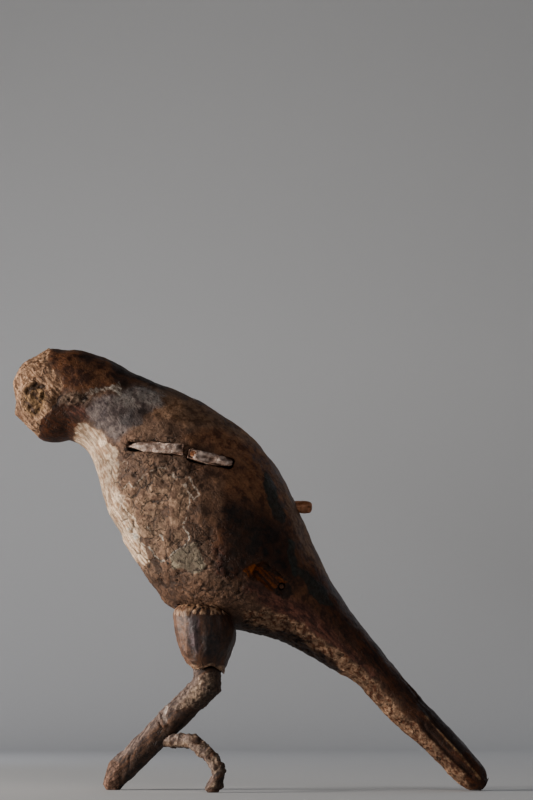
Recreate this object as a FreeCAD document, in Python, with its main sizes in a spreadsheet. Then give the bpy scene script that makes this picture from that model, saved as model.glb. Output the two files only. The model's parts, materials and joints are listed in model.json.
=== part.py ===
"""Antique carved and painted wooden bird that has lost its bill, wings and far leg.

The bird stands on three points: the broken end of its front toe, the tip of its hind toe and the tip of
its tail.  The frame is in millimetres: +Z up, the bill towards -X, the bird's left side towards -Y, and
the origin on the floor under the middle of the bounding box.
"""

import FreeCAD, Part
import os

import Sketcher
from FreeCAD import Placement, Rotation, Vector

ACROSS = Vector(1, 0, 0)
UP = Vector(0, 0, 1)
FLOOR_BOX = 500.0

# ------------------------------------------------------------------ driving dimensions

# Stations of the carved block, from the bill seat to the tip of the tail.  Each is an ellipse:
# centre along X, centre height Z, lean of its back towards the tail in degrees, depth from breast to
# back, and width from side to side.
STATIONS = {
    "face": (-183.25, 300.6, -2.0, 26.0, 23.0),
    "bill": (-175.2, 301.0, -2.0, 56.0, 46.0),
    "brow": (-162.6, 300.0, -7.0, 68.0, 58.0),
    "crown": (-139.4, 302.8, 5.0, 70.7, 63.0),
    "nape": (-117.1, 295.0, 28.8, 69.6, 63.0),
    "neck": (-92.4, 279.3, 44.0, 83.2, 73.0),
    "shoulder": (-76.8, 264.0, 49.5, 103.0, 87.0),
    "breast": (-61.0, 245.2, 52.0, 119.5, 98.0),
    "belly": (-32.5, 207.6, 53.3, 131.6, 106.0),
    "loin": (-8.1, 171.8, 53.5, 119.8, 98.0),
    "rump": (10.0, 155.1, 52.0, 99.8, 85.0),
    "vent": (28.6, 142.3, 51.4, 76.6, 68.0),
    "root": (47.4, 127.3, 50.4, 58.8, 53.0),
    "upper": (71.8, 107.0, 49.2, 42.8, 40.6),
    "middle": (105.3, 76.4, 48.5, 30.2, 29.8),
    "lower": (141.5, 39.6, 48.0, 25.8, 25.4),
    "tip": (170.6, 9.0, 48.0, 21.5, 21.0),
    "end": (178.5, 3.4, 48.0, 14.0, 13.6),
}

# Stations down the thigh: centre X, centre distance from the middle, height, size along, size across.
THIGH = {
    "seat": (-37.2, 22.5, 138.5, 30.0, 28.0),
    "cap": (-36.8, 23.0, 133.0, 41.0, 37.0),
    "swell": (-33.8, 23.0, 119.5, 45.4, 41.0),
    "calf": (-33.6, 23.0, 107.0, 40.2, 37.0),
    "hock": (-33.0, 22.4, 96.0, 31.0, 30.0),
    "rim": (-32.6, 21.8, 87.0, 25.2, 24.8),
}

SIZES = {
    # bill seat: the chin is sawn off square to the lost bill
    "chin_x": -171.5,
    "chin_z": 276.2,
    "chin_lean": 137.0,
    # broken wing roots, in mortises cut in the flanks
    "wing_floor": 29.0,
    "wing_front_x": -70.9,
    "wing_front_z": 255.8,
    "wing_front_lean": 6.6,
    "wing_front_length": 43.0,
    "wing_front_height": 8.0,
    "wing_front_out_fore": 10.5,
    "wing_front_out_aft": 21.5,
    "wing_rear_x": -28.8,
    "wing_rear_z": 246.8,
    "wing_rear_lean": 12.5,
    "wing_rear_length": 34.3,
    "wing_rear_height": 8.4,
    "wing_rear_out_fore": 23.4,
    "wing_rear_out_aft": 20.4,
    # peg that pins the rear wing root
    "wing_peg_x": -42.0,
    "wing_peg_z": 249.8,
    "wing_peg_y": 20.0,
    "wing_peg_radius": 2.2,
    "wing_peg_length": 32.8,
    # eye: a turned peg with a domed head in a drilled seat
    "eye_x": -126.6,
    "eye_z": 294.3,
    "eye_y": 29.4,
    "eye_seat_radius": 4.2,
    "eye_head_radius": 2.8,
    "eye_head_height": 2.2,
    "eye_shank_radius": 1.6,
    "eye_shank_length": 9.0,
    # peg in the middle of the back
    "back_peg_x": 39.7,
    "back_peg_z": 215.2,
    "back_peg_dip": 4.0,
    "back_peg_radius": 4.9,
    "back_peg_tenon_radius": 4.6,
    "back_peg_tenon_length": 22.0,
    "back_peg_length": 8.3,
    "back_peg_round": 2.6,
    # shallow chipped hollow with a broken nail, where the wing tip was fixed
    "chip_y": 37.6,
    "chip_x": 16.4,
    "chip_z": 157.4,
    "chip_lean": 36.0,
    "chip_length": 25.0,
    "chip_height": 11.0,
    "wingtip_nail_x": 24.4,
    "wingtip_nail_z": 151.4,
    "wingtip_nail_radius": 1.7,
    "wingtip_nail_length": 15.0,
    "wingtip_nail_sunk": 1.0,
    # nail through the belly just above the thigh
    "thigh_nail_x": -55.0,
    "thigh_nail_y": 16.6,
    "thigh_nail_z": 137.8,
    "thigh_nail_head_radius": 2.3,
    "thigh_nail_head_height": 1.3,
    "thigh_nail_shank_radius": 1.1,
    "thigh_nail_shank_length": 16.0,
    # dowel that carries the thigh
    "dowel_x": -33.0,
    "dowel_y": 21.0,
    "dowel_z": 104.0,
    "dowel_radius": 4.0,
    "dowel_length": 44.0,
    # leg: the knee under the thigh, then a straight shank that runs on as the front toe
    "knee_x": -31.8,
    "knee_y": 21.4,
    "knee_z": 78.4,
    "leg_swing": 24.4,
    "leg_slope": 41.0,
    "shank_radius": 10.3,
    "shank_top": 12.8,
    "shank_length": 46.4,
    "leg_tenon_radius": 6.0,
    "leg_tenon_length": 12.0,
    "cuff_radius": 10.5,
    "cuff_depth": 4.5,
    "front_toe_radius": 10.4,
    "front_toe_length": 67.8,
    "front_toe_bevel": 4.0,
    "toe_tenon_radius": 4.5,
    "toe_tenon_length": 12.0,
    # hind toe: its route lies in its own upright plane, out from the shank and up from the floor
    "hind_x": -59.4,
    "hind_y": 9.6,
    "hind_swing": 38.5,
    "hind_radius": 5.5,
    "hind_root_u": -6.0,
    "hind_root_z": 37.4,
    "hind_arch_u": 21.5,
    "hind_arch_z": 37.2,
    "hind_back_u": 37.5,
    "hind_back_z": 27.5,
    "hind_claw_u": 46.6,
    "hind_claw_z": 18.2,
    "hind_hook_u": 47.6,
    "hind_hook_z": 11.8,
    "hind_nail_u": 44.8,
    "hind_nail_z": 6.4,
    "hind_tip_u": 40.0,
    "hind_tip_z": 0.8,
    "hind_tenon_radius": 3.2,
    "hind_tenon_length": 12.0,
    # stub of the lost right shank, left in its socket
    "stub_length": 14.0,
    # feather grooves along the back of the tail
    "groove_width": 2.4,
    "groove_depth": 1.9,
    "groove_length": 92.0,
    "groove_gap": 6.4,
    "groove_x": 146.0,
    "groove_z": 52.4,
    "groove_slope": 43.4,
}

SIDES = {"left": -1, "right": 1}


def make_sheet(doc):
    """Put every driving dimension in the spreadsheet, one row each, under its alias."""
    sheet = doc.addObject("Spreadsheet::Sheet", "dims")
    rows = []
    for name, values in STATIONS.items():
        rows += zip((f"{name}_{k}" for k in ("x", "z", "lean", "depth", "width")), values)
    for name, values in THIGH.items():
        rows += zip((f"thigh_{name}_{k}" for k in ("x", "y", "z", "along", "across")), values)
    rows += SIZES.items()
    for row, (alias, value) in enumerate(rows, 1):
        sheet.set(f"A{row}", alias)
        sheet.set(f"B{row}", str(value))
        sheet.setAlias(f"B{row}", alias)
    doc.recompute()
    return sheet


# ------------------------------------------------------------------ drawing helpers


def new_body(doc, name):
    """A part design body, named and labelled for the piece that it makes."""
    body = doc.addObject("PartDesign::Body", name)
    body.Label = name
    return body


def origin_plane(body, role):
    """One of the body's own origin planes."""
    return next(f for f in body.Origin.OriginFeatures if f.Role == role)


def new_sketch(body, name, role, rotation, **offsets):
    """A sketch lying on an origin plane, shifted and turned by expressions on its own axes."""
    sketch = body.newObject("Sketcher::SketchObject", name)
    sketch.AttachmentSupport = [(origin_plane(body, role), "")]
    sketch.MapMode = "FlatFace"
    sketch.AttachmentOffset = Placement(Vector(0, 0, 0), Rotation(rotation, 0))
    for axis in "xyz":
        if axis in offsets:
            sketch.setExpression(f"AttachmentOffset.Base.{axis}", offsets[axis])
    if "angle" in offsets:
        sketch.setExpression("AttachmentOffset.Rotation.Angle", offsets["angle"])
    return sketch


def size(sketch, constraint, name, expression):
    """Add a dimension to a sketch and bind it to the spreadsheet."""
    index = sketch.addConstraint(constraint)
    sketch.renameConstraint(index, name)
    sketch.setExpression(f"Constraints.{name}", expression)


def ellipse(sketch, upright, level):
    """A centred ellipse, its axes bound to two expressions, the longer one drawn first."""
    curve = sketch.addGeometry(Part.Ellipse(Vector(0, 30, 0), Vector(20, 0, 0), Vector(0, 0, 0)), False)
    sketch.exposeInternalGeometry(curve)
    sketch.addConstraint(Sketcher.Constraint("Coincident", curve, 3, -1, 1))
    sketch.addConstraint(Sketcher.Constraint("Vertical", curve + 1))
    size(sketch, Sketcher.Constraint("Distance", curve + 1, 60), "upright", upright)
    size(sketch, Sketcher.Constraint("Distance", curve + 2, 40), "level", level)


def circle(sketch, radius):
    """A centred circle."""
    ring = sketch.addGeometry(Part.Circle(Vector(0, 0, 0), Vector(0, 0, 1), 5), False)
    sketch.addConstraint(Sketcher.Constraint("Coincident", ring, 3, -1, 1))
    size(sketch, Sketcher.Constraint("Radius", ring, 5), "radius", radius)


def rectangle(sketch, length, height):
    """A rectangle centred on the sketch's origin."""
    corners = [Vector(-5, -3, 0), Vector(5, -3, 0), Vector(5, 3, 0), Vector(-5, 3, 0)]
    for i in range(4):
        sketch.addGeometry(Part.LineSegment(corners[i], corners[(i + 1) % 4]), False)
    for i in range(4):
        sketch.addConstraint(Sketcher.Constraint("Coincident", i, 2, (i + 1) % 4, 1))
        sketch.addConstraint(Sketcher.Constraint("Vertical" if i % 2 else "Horizontal", i))
    sketch.addConstraint(Sketcher.Constraint("Symmetric", 0, 1, 1, 2, -1, 1))
    size(sketch, Sketcher.Constraint("DistanceX", 0, 1, 0, 2, 10), "length", length)
    size(sketch, Sketcher.Constraint("DistanceY", 1, 1, 1, 2, 6), "height", height)


def polyline(sketch, points, closed=True):
    """Straight lines through points, each coordinate an expression measured from the sketch's origin."""
    values = [Vector(evaluated(sketch, x), evaluated(sketch, y), 0) for x, y in points]
    count = len(points) if closed else len(points) - 1
    for i in range(count):
        sketch.addGeometry(Part.LineSegment(values[i], values[(i + 1) % len(values)]), False)
    for i in range(count if closed else count - 1):
        sketch.addConstraint(Sketcher.Constraint("Coincident", i, 2, (i + 1) % count, 1))
    for i, (x, y) in enumerate(points):
        line, end = (i, 1) if i < count else (count - 1, 2)
        place(sketch, line, end, "X", f"x{i}", x, values[i].x)
        place(sketch, line, end, "Y", f"y{i}", y, values[i].y)


def evaluated(sketch, expression):
    """The number that an expression has now."""
    return float(sketch.evalExpression(expression))


def place(sketch, line, end, axis, name, expression, value):
    """Fix one coordinate of a line's end, on the sketch's axis where it is zero."""
    if abs(value) < 1e-9:
        sketch.addConstraint(Sketcher.Constraint("PointOnObject", line, end, -2 if axis == "X" else -1))
        return
    size(sketch, Sketcher.Constraint(f"Distance{axis}", -1, 1, line, end, value), name, expression)


def along(start, direction):
    """Placement that takes an upright piece to a start point, pointing along a direction."""
    return Placement(start, Rotation(UP, direction))


def bore(body, name, radius, depth, start, direction):
    """A round hole drilled from a point along a direction."""
    hole = body.newObject("PartDesign::SubtractiveCylinder", name)
    hole.Placement = along(start, direction)
    hole.setExpression("Radius", radius)
    hole.setExpression("Height", depth)


def rod(doc, name, radius, length, start, direction):
    """A straight round rod from a point along a direction."""
    made = doc.addObject("Part::Cylinder", name)
    made.Label = name
    made.setExpression("Radius", radius)
    made.setExpression("Height", length)
    made.Placement = along(start, direction)
    return made


def turned(doc, name, points):
    """A turned piece, upright: its half outline, radius against length, spun about its own axis."""
    body = new_body(doc, name)
    outline = new_sketch(body, name + "_outline", "XZ_Plane", Vector(0, 0, 1))
    polyline(outline, points)
    spun = body.newObject("PartDesign::Revolution", name + "_spin")
    spun.Profile = outline
    spun.ReferenceAxis = (outline, ["V_Axis"])
    spun.Angle = 360
    doc.recompute()
    return body


def combine(doc, kind, name, base, tool):
    """A boolean of two objects, labelled for what it makes."""
    made = doc.addObject(kind, name)
    made.Base = base
    made.Tool = tool
    made.Label = name
    return made


def set_floor_box(box):
    """Make a box fill the space below the floor."""
    box.Length, box.Width, box.Height = FLOOR_BOX, FLOOR_BOX, FLOOR_BOX
    box.Placement = Placement(Vector(-FLOOR_BOX / 2, -FLOOR_BOX / 2, -FLOOR_BOX), Rotation())


def value(doc, alias):
    """A driving dimension, read from the spreadsheet."""
    return float(doc.dims.get(alias))


def point(doc, x, y, z, sign=1):
    """A point from three aliases, its distance from the middle taken to one side."""
    return Vector(value(doc, x), sign * value(doc, y), value(doc, z))


# ------------------------------------------------------------------ the pieces


def carved_body(doc):
    """Head, neck, trunk and tail, carved from one balk of wood, with the seats that hold the rest."""
    body = new_body(doc, "carved_body")
    rings = []
    for name in STATIONS:
        ring = new_sketch(
            body, f"{name}_ring", "YZ_Plane", ACROSS,
            z=f"dims.{name}_x", y=f"dims.{name}_z", angle=f"dims.{name}_lean",
        )
        ellipse(ring, f"dims.{name}_depth", f"dims.{name}_width")
        rings.append(ring)
    loft_through(doc, body, rings, "carved_form")
    saw_chin(body)
    carve_grooves(body)
    for side, sign in SIDES.items():
        cut_flank(doc, body, side, sign)
    start, direction = back_peg_axis(doc)
    inner = start - direction * value(doc, "back_peg_tenon_length")
    bore(body, "back_peg_hole", "dims.back_peg_tenon_radius", "dims.back_peg_tenon_length * 2",
         inner, direction)
    box = body.newObject("PartDesign::SubtractiveBox", "tail_worn_flat")
    set_floor_box(box)
    doc.recompute()
    return body


def loft_through(doc, body, rings, name):
    """A smooth solid through a row of closed sketches."""
    doc.recompute()
    loft = body.newObject("PartDesign::AdditiveLoft", name)
    loft.Profile = rings[0]
    loft.Sections = rings[1:]
    doc.recompute()


def saw_chin(body):
    """The flat that slopes under the bill seat and leaves the chin a sharp corner."""
    cut = body.newObject("PartDesign::SubtractiveBox", "chin_cut")
    cut.Length, cut.Width, cut.Height = 120, 120, 40
    cut.Placement = Placement(Vector(0, -60, 0), Rotation(Vector(0, 1, 0), 0))
    cut.setExpression("Placement.Rotation.Angle", "-dims.chin_lean")
    cut.setExpression("Placement.Base.x", "dims.chin_x - 60 * cos(dims.chin_lean)")
    cut.setExpression("Placement.Base.z", "dims.chin_z - 60 * sin(dims.chin_lean)")


def carve_grooves(body):
    """Three long grooves that part the feathers along the back of the tail."""
    for i in (-1, 0, 1):
        groove = body.newObject("PartDesign::SubtractiveBox", f"feather_groove_{i + 2}")
        groove.setExpression("Length", "dims.groove_length")
        groove.setExpression("Width", "dims.groove_width")
        groove.setExpression("Height", "dims.groove_depth + 8")
        groove.Placement = Placement(Vector(0, 0, 0), Rotation(Vector(0, 1, 0), 0))
        groove.setExpression("Placement.Rotation.Angle", "dims.groove_slope")
        groove.setExpression("Placement.Base.x",
                             "dims.groove_x - dims.groove_length / 2 * cos(dims.groove_slope)")
        groove.setExpression("Placement.Base.y", f"{i} * dims.groove_gap - dims.groove_width / 2")
        groove.setExpression("Placement.Base.z",
                             "dims.groove_z + dims.groove_length / 2 * sin(dims.groove_slope)"
                             f" - {abs(i)} * dims.groove_depth")


def cut_flank(doc, body, side, sign):
    """The seats in one side: wing mortises, eye, chipped hollow, and nail, peg and dowel holes."""
    for seat in ("wing_front", "wing_rear", "chip"):
        depth = "chip_y" if seat == "chip" else "wing_floor"
        outline = new_sketch(
            body, f"{side}_{seat}_seat", "XZ_Plane", Vector(0, 0, 1),
            x=f"dims.{seat}_x", y=f"dims.{seat}_z",
            z=f"{-sign} * dims.{depth}", angle=f"-dims.{seat}_lean",
        )
        rectangle(outline, f"dims.{seat}_length", f"dims.{seat}_height")
        cut = body.newObject("PartDesign::Pocket", f"{side}_{seat}_cut")
        cut.Profile = outline
        cut.Length = 40
        cut.Reversed = sign < 0
    out = Vector(0, sign, 0)
    eye_seat = point(doc, "eye_x", "eye_y", "eye_z", sign)
    eye_bottom = eye_seat - out * value(doc, "eye_shank_length")
    bore(body, f"{side}_eye_seat", "dims.eye_seat_radius", "20", eye_seat, out)
    bore(body, f"{side}_eye_hole", "dims.eye_shank_radius", "30", eye_bottom, out)
    wing_peg_bottom = point(doc, "wing_peg_x", "wing_peg_y", "wing_peg_z", sign)
    bore(body, f"{side}_wing_peg_hole", "dims.wing_peg_radius", "40", wing_peg_bottom, out)
    bore(body, f"{side}_wingtip_hole", "dims.wingtip_nail_radius", "40",
         wingtip_nail_bottom(doc, sign), out)
    head, drawn = thigh_nail_axis(doc, sign)
    tip = head - drawn * value(doc, "thigh_nail_shank_length")
    bore(body, f"{side}_nail_hole", "dims.thigh_nail_shank_radius", "30", tip, drawn)
    bore(body, f"{side}_nail_seat", "dims.thigh_nail_head_radius", "20", head, drawn)
    bore(body, f"{side}_dowel_hole", "dims.dowel_radius", "dims.dowel_length",
         point(doc, "dowel_x", "dowel_y", "dowel_z", sign), UP)


def back_peg_axis(doc):
    """Where the back peg's shoulder is, and the way it points."""
    lean = Rotation(Vector(0, 1, 0), value(doc, "back_peg_dip"))
    return Vector(value(doc, "back_peg_x"), 0, value(doc, "back_peg_z")), lean.multVec(Vector(1, 0, 0))


def wingtip_nail_bottom(doc, sign):
    """Bottom of the hole for the broken nail that held the tip of the wing."""
    depth = value(doc, "chip_y") - value(doc, "wingtip_nail_sunk") - value(doc, "wingtip_nail_length")
    return Vector(value(doc, "wingtip_nail_x"), sign * depth, value(doc, "wingtip_nail_z"))


def thigh_nail_axis(doc, sign):
    """Seat of the nail's head in the belly, and the way the nail would be drawn out."""
    drawn = Vector(-0.55, sign * 0.62, -0.56)
    drawn.normalize()
    return point(doc, "thigh_nail_x", "thigh_nail_y", "thigh_nail_z", sign), drawn


def back_peg(doc):
    """Whittled peg in the middle of the back, round at its tip."""
    start, direction = back_peg_axis(doc)
    body = turned(doc, "back_peg", [
        ("0", "-dims.back_peg_tenon_length"),
        ("dims.back_peg_tenon_radius", "-dims.back_peg_tenon_length"),
        ("dims.back_peg_tenon_radius", "0"),
        ("dims.back_peg_radius", "0"),
        ("dims.back_peg_radius", "dims.back_peg_length - dims.back_peg_round"),
        ("dims.back_peg_radius - dims.back_peg_round * 0.3",
         "dims.back_peg_length - dims.back_peg_round * 0.3"),
        ("dims.back_peg_radius - dims.back_peg_round", "dims.back_peg_length"),
        ("0", "dims.back_peg_length"),
    ])
    body.Placement = along(start, direction)
    return body


def eye(doc, side, sign):
    """Turned eye: a thin shank glued in the head, and a domed head in a drilled seat."""
    body = turned(doc, f"{side}_eye", [
        ("0", "-dims.eye_shank_length"),
        ("dims.eye_shank_radius", "-dims.eye_shank_length"),
        ("dims.eye_shank_radius", "0"),
        ("dims.eye_head_radius", "0"),
        ("dims.eye_head_radius", "dims.eye_head_height * 0.35"),
        ("dims.eye_head_radius * 0.6", "dims.eye_head_height * 0.85"),
        ("dims.eye_head_radius * 0.25", "dims.eye_head_height"),
        ("0", "dims.eye_head_height"),
    ])
    body.Placement = along(point(doc, "eye_x", "eye_y", "eye_z", sign), Vector(0, sign, 0))
    return body


def thigh_nail(doc, side, sign):
    """Wrought nail through the skin of the belly above the thigh."""
    body = turned(doc, f"{side}_thigh_nail", [
        ("0", "-dims.thigh_nail_shank_length"),
        ("dims.thigh_nail_shank_radius * 0.5", "-dims.thigh_nail_shank_length"),
        ("dims.thigh_nail_shank_radius", "-dims.thigh_nail_shank_length * 0.75"),
        ("dims.thigh_nail_shank_radius", "0"),
        ("dims.thigh_nail_head_radius", "0"),
        ("dims.thigh_nail_head_radius", "dims.thigh_nail_head_height * 0.6"),
        ("dims.thigh_nail_head_radius * 0.55", "dims.thigh_nail_head_height"),
        ("0", "dims.thigh_nail_head_height"),
    ])
    body.Placement = along(*thigh_nail_axis(doc, sign))
    return body


def wing_root(doc, side, sign, part):
    """What is left of one plank of the wing: a tongue in its mortise, snapped off outside the flank."""
    name = f"{side}_wing_root_{part}"
    body = new_body(doc, name)
    plan = new_sketch(body, name + "_plan", "XY_Plane", Vector(0, 0, 1))
    half = f"dims.wing_{part}_length / 2"
    polyline(plan, [
        (f"-{half}", "0"),
        (half, "0"),
        (half, f"{sign} * dims.wing_{part}_out_aft"),
        (f"-{half}", f"{sign} * dims.wing_{part}_out_fore"),
    ])
    plank = body.newObject("PartDesign::Pad", name + "_plank")
    plank.Profile = plan
    plank.setExpression("Length", f"dims.wing_{part}_height")
    plank.Midplane = True
    doc.recompute()
    body.Placement = Placement(
        Vector(value(doc, f"wing_{part}_x"), sign * value(doc, "wing_floor"), value(doc, f"wing_{part}_z")),
        Rotation(Vector(0, 1, 0), value(doc, f"wing_{part}_lean")),
    )
    return body


def rear_wing_root(doc, side, sign, peg):
    """The rear wing root, drilled for the peg that pins it."""
    plank = wing_root(doc, side, sign, "rear")
    plank.Label = f"{side}_rear_plank"
    return combine(doc, "Part::Cut", f"{side}_wing_root_rear", plank, peg)


def thigh(doc, side, sign, trunk, dowel):
    """Drumstick block, coped to the belly, with a cuff and a socket for the shank below."""
    name = f"{side}_thigh"
    blank = new_body(doc, name + "_blank")
    rings = []
    for level in THIGH:
        ring = new_sketch(
            blank, f"{side}_{level}_ring", "XY_Plane", Vector(0, 0, 1),
            x=f"dims.thigh_{level}_x", y=f"{sign} * dims.thigh_{level}_y",
            z=f"dims.thigh_{level}_z", angle="90",
        )
        ellipse(ring, f"dims.thigh_{level}_along", f"dims.thigh_{level}_across")
        rings.append(ring)
    loft_through(doc, blank, rings, name + "_form")
    below = Vector(value(doc, "knee_x"), sign * value(doc, "knee_y"), value(doc, "thigh_rim_z") - 5)
    cuff = rod(doc, name + "_cuff_cutter", "dims.cuff_radius", "dims.cuff_depth + 5", below, UP)
    socket = rod(doc, name + "_socket_cutter", "dims.leg_tenon_radius",
                 "dims.knee_z + dims.shank_top + dims.leg_tenon_length - dims.thigh_rim_z + 5", below, UP)
    coped = combine(doc, "Part::Cut", name + "_coped", blank, trunk)
    with_cuff = combine(doc, "Part::Cut", name + "_cuffed", coped, cuff)
    with_socket = combine(doc, "Part::Cut", name + "_socketed", with_cuff, socket)
    return combine(doc, "Part::Cut", name, with_socket, dowel)


def leg_frame(doc, sign):
    """Placement that takes a leg drawn in the XZ plane, running out along +X, to its knee."""
    knee = point(doc, "knee_x", "knee_y", "knee_z", sign)
    return Placement(knee, Rotation(UP, 180 + sign * value(doc, "leg_swing")))


def bent_rod(doc, body, name, radius, stations):
    """A round rod swept along straight runs through stations in the XZ plane."""
    route = new_sketch(body, name + "_route", "XZ_Plane", Vector(0, 0, 1))
    polyline(route, stations, closed=False)
    doc.recompute()
    start = [Vector(evaluated(route, x), 0, evaluated(route, z)) for x, z in stations[:2]]
    section = body.newObject("Sketcher::SketchObject", name + "_section")
    section.AttachmentSupport = [(origin_plane(body, "XY_Plane"), "")]
    section.MapMode = "FlatFace"
    section.AttachmentOffset = along(start[0], start[1] - start[0])
    circle(section, radius)
    doc.recompute()
    pipe = body.newObject("PartDesign::AdditivePipe", name + "_sweep")
    pipe.Profile = section
    pipe.Spine = (route, [f"Edge{i}" for i in range(1, len(stations))])
    pipe.Transition = "Right corner"
    doc.recompute()


def tarsus(doc, side, sign):
    """Shank with its knee: a tenon up into the thigh, and a socket for the front toe."""
    name = f"{side}_tarsus"
    body = new_body(doc, name)
    bent_rod(doc, body, name, "dims.shank_radius", [
        ("0", "dims.shank_top"),
        ("0", "0"),
        ("dims.shank_length * cos(dims.leg_slope)", "-dims.shank_length * sin(dims.leg_slope)"),
    ])
    tenon = body.newObject("PartDesign::AdditiveCylinder", name + "_tenon")
    tenon.setExpression("Radius", "dims.leg_tenon_radius")
    tenon.setExpression("Height", "dims.shank_top + dims.leg_tenon_length")
    slope = value(doc, "leg_slope")
    down = Rotation(Vector(0, 1, 0), slope).multVec(Vector(1, 0, 0))
    socket = down * (value(doc, "shank_length") - value(doc, "toe_tenon_length"))
    bore(body, name + "_toe_socket", "dims.toe_tenon_radius", "dims.toe_tenon_length * 2", socket, down)
    doc.recompute()
    body.Placement = leg_frame(doc, sign)
    return body


def front_toe_blank(doc, side, sign, floor):
    """Front toe: a tenon up into the shank, a worn end, and a flat where it meets the floor."""
    name = f"{side}_front_toe"
    body = turned(doc, name + "_turned", [
        ("0", "-dims.toe_tenon_length"),
        ("dims.toe_tenon_radius", "-dims.toe_tenon_length"),
        ("dims.toe_tenon_radius", "0"),
        ("dims.shank_radius", "0"),
        ("dims.front_toe_radius", "dims.front_toe_length / 2"),
        ("dims.front_toe_radius", "dims.front_toe_length - dims.front_toe_bevel * 1.6"),
        ("dims.front_toe_radius - dims.front_toe_bevel", "dims.front_toe_length"),
        ("0", "dims.front_toe_length"),
    ])
    frame = leg_frame(doc, sign)
    down = Rotation(Vector(0, 1, 0), value(doc, "leg_slope")).multVec(Vector(1, 0, 0))
    body.Placement = frame * along(down * value(doc, "shank_length"), down)
    return combine(doc, "Part::Cut", name + "_blank", body, floor)


def toes(doc, side, sign, floor):
    """Front toe and hind toe: the hind toe is coped to the front one and tenoned into it."""
    blank = front_toe_blank(doc, side, sign, floor)
    name = f"{side}_hind_toe"
    bent = new_body(doc, name + "_bent")
    bent_rod(doc, bent, name, "dims.hind_radius", [
        (f"dims.hind_{station}_u", f"dims.hind_{station}_z")
        for station in ("root", "arch", "back", "claw", "hook", "nail", "tip")
    ])
    turn = Rotation(UP, sign * value(doc, "hind_swing"))
    foot = Vector(value(doc, "hind_x"), sign * value(doc, "hind_y"), 0)
    bent.Placement = Placement(foot, turn)
    tenon_start = value(doc, "hind_root_u") - value(doc, "hind_tenon_length") / 2
    root = Vector(tenon_start, 0, value(doc, "hind_root_z"))
    inner = foot + turn.multVec(root)
    tenon = rod(doc, name + "_tenon", "dims.hind_tenon_radius", "dims.hind_tenon_length",
                inner, turn.multVec(Vector(1, 0, 0)))
    grounded = combine(doc, "Part::Cut", name + "_grounded", bent, floor)
    coped = combine(doc, "Part::Cut", name + "_coped", grounded, blank)
    front = combine(doc, "Part::Cut", f"{side}_front_toe", blank, tenon)
    hind = combine(doc, "Part::Fuse", name, coped, tenon)
    return [front, hind]


def main():
    doc = FreeCAD.newDocument("carved_bird")
    make_sheet(doc)
    floor = doc.addObject("Part::Box", "below_the_floor")
    set_floor_box(floor)
    trunk = carved_body(doc)
    pieces = [trunk, back_peg(doc)]
    for side, sign in SIDES.items():
        out = Vector(0, sign, 0)
        peg = rod(doc, f"{side}_wing_peg", "dims.wing_peg_radius", "dims.wing_peg_length",
                  point(doc, "wing_peg_x", "wing_peg_y", "wing_peg_z", sign), out)
        nail = rod(doc, f"{side}_wingtip_nail", "dims.wingtip_nail_radius", "dims.wingtip_nail_length",
                   wingtip_nail_bottom(doc, sign), out)
        dowel = rod(doc, f"{side}_thigh_dowel", "dims.dowel_radius", "dims.dowel_length",
                    point(doc, "dowel_x", "dowel_y", "dowel_z", sign), UP)
        pieces += [
            eye(doc, side, sign),
            wing_root(doc, side, sign, "front"),
            rear_wing_root(doc, side, sign, peg),
            peg,
            nail,
            thigh_nail(doc, side, sign),
            thigh(doc, side, sign, trunk, dowel),
            dowel,
        ]
    pieces.append(tarsus(doc, "left", SIDES["left"]))
    pieces += toes(doc, "left", SIDES["left"], floor)
    top = value(doc, "knee_z") + value(doc, "shank_top") + value(doc, "leg_tenon_length")
    stub_end = Vector(value(doc, "knee_x"), value(doc, "knee_y"), top - value(doc, "stub_length"))
    pieces.append(rod(doc, "right_tarsus_stub", "dims.leg_tenon_radius", "dims.stub_length", stub_end, UP))
    doc.recompute()
    write_pieces(doc, pieces)


def write_pieces(doc, pieces):
    """Check every object and every piece, then write each piece to its own file."""
    for thing in doc.Objects:
        if {"Invalid", "Error"} & set(thing.State):
            raise RuntimeError(f"{thing.Name} did not build")
    os.makedirs("parts", exist_ok=True)
    for piece in pieces:
        shape = piece.Shape
        if shape.isNull() or not shape.isValid() or len(shape.Solids) != 1:
            raise RuntimeError(f"{piece.Label} is not one sound solid")
        shape.exportStep(f"parts/{piece.Label}.step")
        print(piece.Label, round(shape.Volume, 1), "mm3")


main()
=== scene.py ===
# %% [markdown]
# # An old carved bird that has lost its bill and wings
#
# The real object is a softwood carving. The carver covered the wood with a white ground of chalk and glue,
# and painted it with dark oil colours. A century later the ground has cracked and flaked, and the paint is
# worn to stains. The plain shapes come from the CAD frame, and this lesson adds what a century did to them.

# %% The frame
import json
import math

import bmesh
import bpy
import numpy as np
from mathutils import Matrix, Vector, noise

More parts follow.
